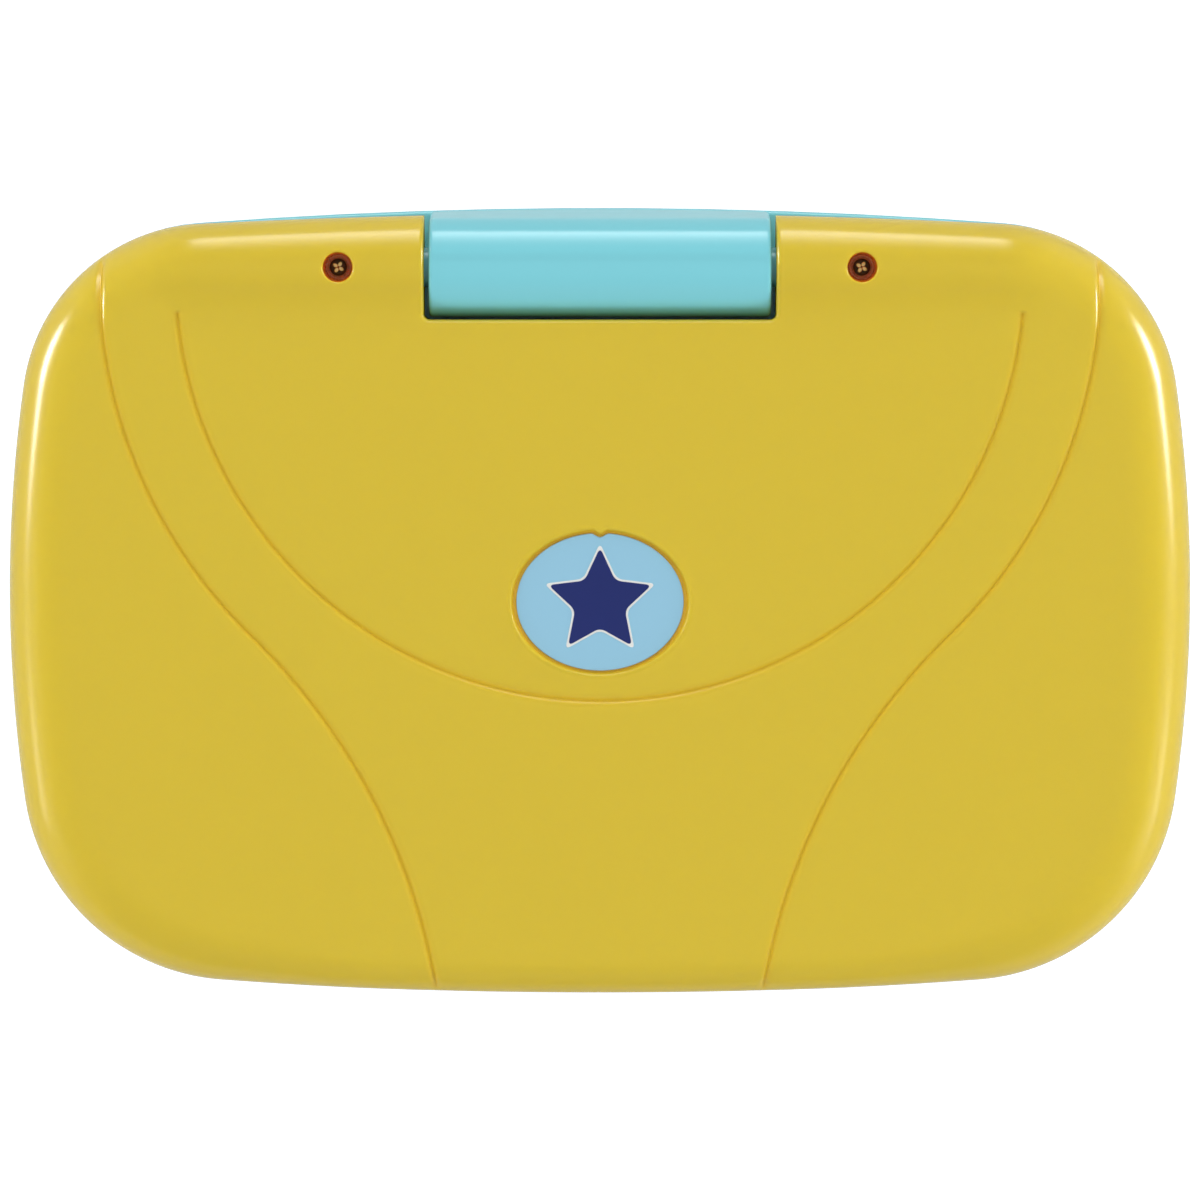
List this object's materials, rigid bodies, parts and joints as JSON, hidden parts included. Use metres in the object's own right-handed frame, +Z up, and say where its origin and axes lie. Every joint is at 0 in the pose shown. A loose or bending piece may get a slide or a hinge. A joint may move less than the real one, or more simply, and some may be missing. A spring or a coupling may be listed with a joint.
{
  "type": "toy laptop computer",
  "caption": "Toy laptop with rounded corners: a hinged lid with a screen closes over a base with number keys, shape keys, a speaker and a power slider.",
  "frame": {"origin": "on the table, under the middle of the closed body's box", "axes": "+X to the right of the user in front, +Y to the rear where the hinge is, +Z up"},
  "size_m": [0.24, 0.1592, 0.0474],
  "materials": {
    "lid_yellow": "glossy yellow moulded plastic",
    "base_aqua": "glossy aqua moulded plastic",
    "label_print": "printed label, satin",
    "screw_steel": "yellow zinc plated steel",
    "clear_window": "clear plastic window",
    "display_print": "reflective display",
    "white_plastic": "satin moulded plastic",
    "circuit_board": "solder mask",
    "cable_black": "matte insulation",
    "cable_red": "matte insulation",
    "keypad_rubber": "silicone rubber",
    "black_plastic": "matte",
    "steel_sheet": "plated sheet steel",
    "speaker_paper": "pressed paper",
    "foot_rubber": "matte rubber",
    "battery_can": "printed steel can",
    "key_red": "glossy moulded plastic",
    "key_orange": "glossy moulded plastic",
    "key_green": "glossy moulded plastic",
    "key_blue": "glossy moulded plastic",
    "key_purple": "glossy moulded plastic"
  },
  "bodies": {
    "base": {"barrel_screws": "screw_steel", "board_screws": "screw_steel", "case_screws": "screw_steel", "door_screw": "screw_steel", "hinge_barrel": "base_aqua", "hinge_pin_left": "white_plastic", "hinge_pin_right": "white_plastic", "keyboard_plate": "white_plastic", "rubber_keypad": "keypad_rubber", "main_board": "circuit_board", "board_parts": "black_plastic", "speaker_frame": "steel_sheet", "speaker_cone": "speaker_paper", "speaker_magnet": "steel_sheet", "speaker_wires": "cable_black", "slide_switch": "black_plastic", "base_top_shell": "base_aqua", "base_bottom_shell": "base_aqua", "rubber_feet": "foot_rubber", "battery_door": "base_aqua", "batteries": "battery_can", "battery_contacts": "steel_sheet", "battery_wires": "cable_red", "hinge_cable": "cable_black"},
    "lid": {"lid_back_cover": "lid_yellow", "hinge_cap_left": "lid_yellow", "hinge_cap_right": "lid_yellow", "badge_label": "label_print", "lid_screws": "screw_steel", "screen_bezel": "lid_yellow", "bezel_screws": "screw_steel", "screen_window": "clear_window", "display_panel": "display_print", "display_holder": "white_plastic", "display_board": "circuit_board", "display_leds": "white_plastic", "display_screws": "screw_steel", "lid_cable": "cable_black"},
    "number_key_1": {"number_key_1": "key_red"},
    "number_key_2": {"number_key_2": "key_orange"},
    "number_key_3": {"number_key_3": "key_green"},
    "number_key_4": {"number_key_4": "key_blue"},
    "number_key_5": {"number_key_5": "key_purple"},
    "number_key_6": {"number_key_6": "key_red"},
    "number_key_7": {"number_key_7": "key_orange"},
    "number_key_8": {"number_key_8": "key_green"},
    "number_key_9": {"number_key_9": "key_blue"},
    "number_key_10": {"number_key_10": "key_purple"},
    "shape_key_circle": {"shape_key_circle": "key_blue"},
    "shape_key_square": {"shape_key_square": "key_red"},
    "shape_key_triangle": {"shape_key_triangle": "key_green"},
    "shape_key_hexagon": {"shape_key_hexagon": "key_orange"},
    "power_slider": {"power_slider": "key_red"}
  },
  "joints": [
    {"name": "lid_hinge", "type": "hinge", "parent": "base", "child": "lid", "pos_m": [0, 0.0676, 0.037], "axis": [-1, 0, 0], "range_deg": [0, 120]},
    {"name": "number_key_1_press", "type": "slide", "parent": "base", "child": "number_key_1", "axis": [0, 0, -1], "range_m": [0, 0.002], "stiffness_N_per_m": 400, "springref_m": -0.001, "deforming": ["rubber_keypad"]},
    {"name": "number_key_2_press", "type": "slide", "parent": "base", "child": "number_key_2", "axis": [0, 0, -1], "range_m": [0, 0.002], "stiffness_N_per_m": 400, "springref_m": -0.001, "deforming": ["rubber_keypad"]},
    {"name": "number_key_3_press", "type": "slide", "parent": "base", "child": "number_key_3", "axis": [0, 0, -1], "range_m": [0, 0.002], "stiffness_N_per_m": 400, "springref_m": -0.001, "deforming": ["rubber_keypad"]},
    {"name": "number_key_4_press", "type": "slide", "parent": "base", "child": "number_key_4", "axis": [0, 0, -1], "range_m": [0, 0.002], "stiffness_N_per_m": 400, "springref_m": -0.001, "deforming": ["rubber_keypad"]},
    {"name": "number_key_5_press", "type": "slide", "parent": "base", "child": "number_key_5", "axis": [0, 0, -1], "range_m": [0, 0.002], "stiffness_N_per_m": 400, "springref_m": -0.001, "deforming": ["rubber_keypad"]},
    {"name": "number_key_6_press", "type": "slide", "parent": "base", "child": "number_key_6", "axis": [0, 0, -1], "range_m": [0, 0.002], "stiffness_N_per_m": 400, "springref_m": -0.001, "deforming": ["rubber_keypad"]},
    {"name": "number_key_7_press", "type": "slide", "parent": "base", "child": "number_key_7", "axis": [0, 0, -1], "range_m": [0, 0.002], "stiffness_N_per_m": 400, "springref_m": -0.001, "deforming": ["rubber_keypad"]},
    {"name": "number_key_8_press", "type": "slide", "parent": "base", "child": "number_key_8", "axis": [0, 0, -1], "range_m": [0, 0.002], "stiffness_N_per_m": 400, "springref_m": -0.001, "deforming": ["rubber_keypad"]},
    {"name": "number_key_9_press", "type": "slide", "parent": "base", "child": "number_key_9", "axis": [0, 0, -1], "range_m": [0, 0.002], "stiffness_N_per_m": 400, "springref_m": -0.001, "deforming": ["rubber_keypad"]},
    {"name": "number_key_10_press", "type": "slide", "parent": "base", "child": "number_key_10", "axis": [0, 0, -1], "range_m": [0, 0.002], "stiffness_N_per_m": 400, "springref_m": -0.001, "deforming": ["rubber_keypad"]},
    {"name": "shape_key_circle_press", "type": "slide", "parent": "base", "child": "shape_key_circle", "axis": [0, 0, -1], "range_m": [0, 0.002], "stiffness_N_per_m": 400, "springref_m": -0.001, "deforming": ["rubber_keypad"]},
    {"name": "shape_key_square_press", "type": "slide", "parent": "base", "child": "shape_key_square", "axis": [0, 0, -1], "range_m": [0, 0.002], "stiffness_N_per_m": 400, "springref_m": -0.001, "deforming": ["rubber_keypad"]},
    {"name": "shape_key_triangle_press", "type": "slide", "parent": "base", "child": "shape_key_triangle", "axis": [0, 0, -1], "range_m": [0, 0.002], "stiffness_N_per_m": 400, "springref_m": -0.001, "deforming": ["rubber_keypad"]},
    {"name": "shape_key_hexagon_press", "type": "slide", "parent": "base", "child": "shape_key_hexagon", "axis": [0, 0, -1], "range_m": [0, 0.002], "stiffness_N_per_m": 400, "springref_m": -0.001, "deforming": ["rubber_keypad"]},
    {"name": "power_slide", "type": "slide", "parent": "base", "child": "power_slider", "axis": [1, 0, 0], "range_m": [0, 0.006]}
  ]
}
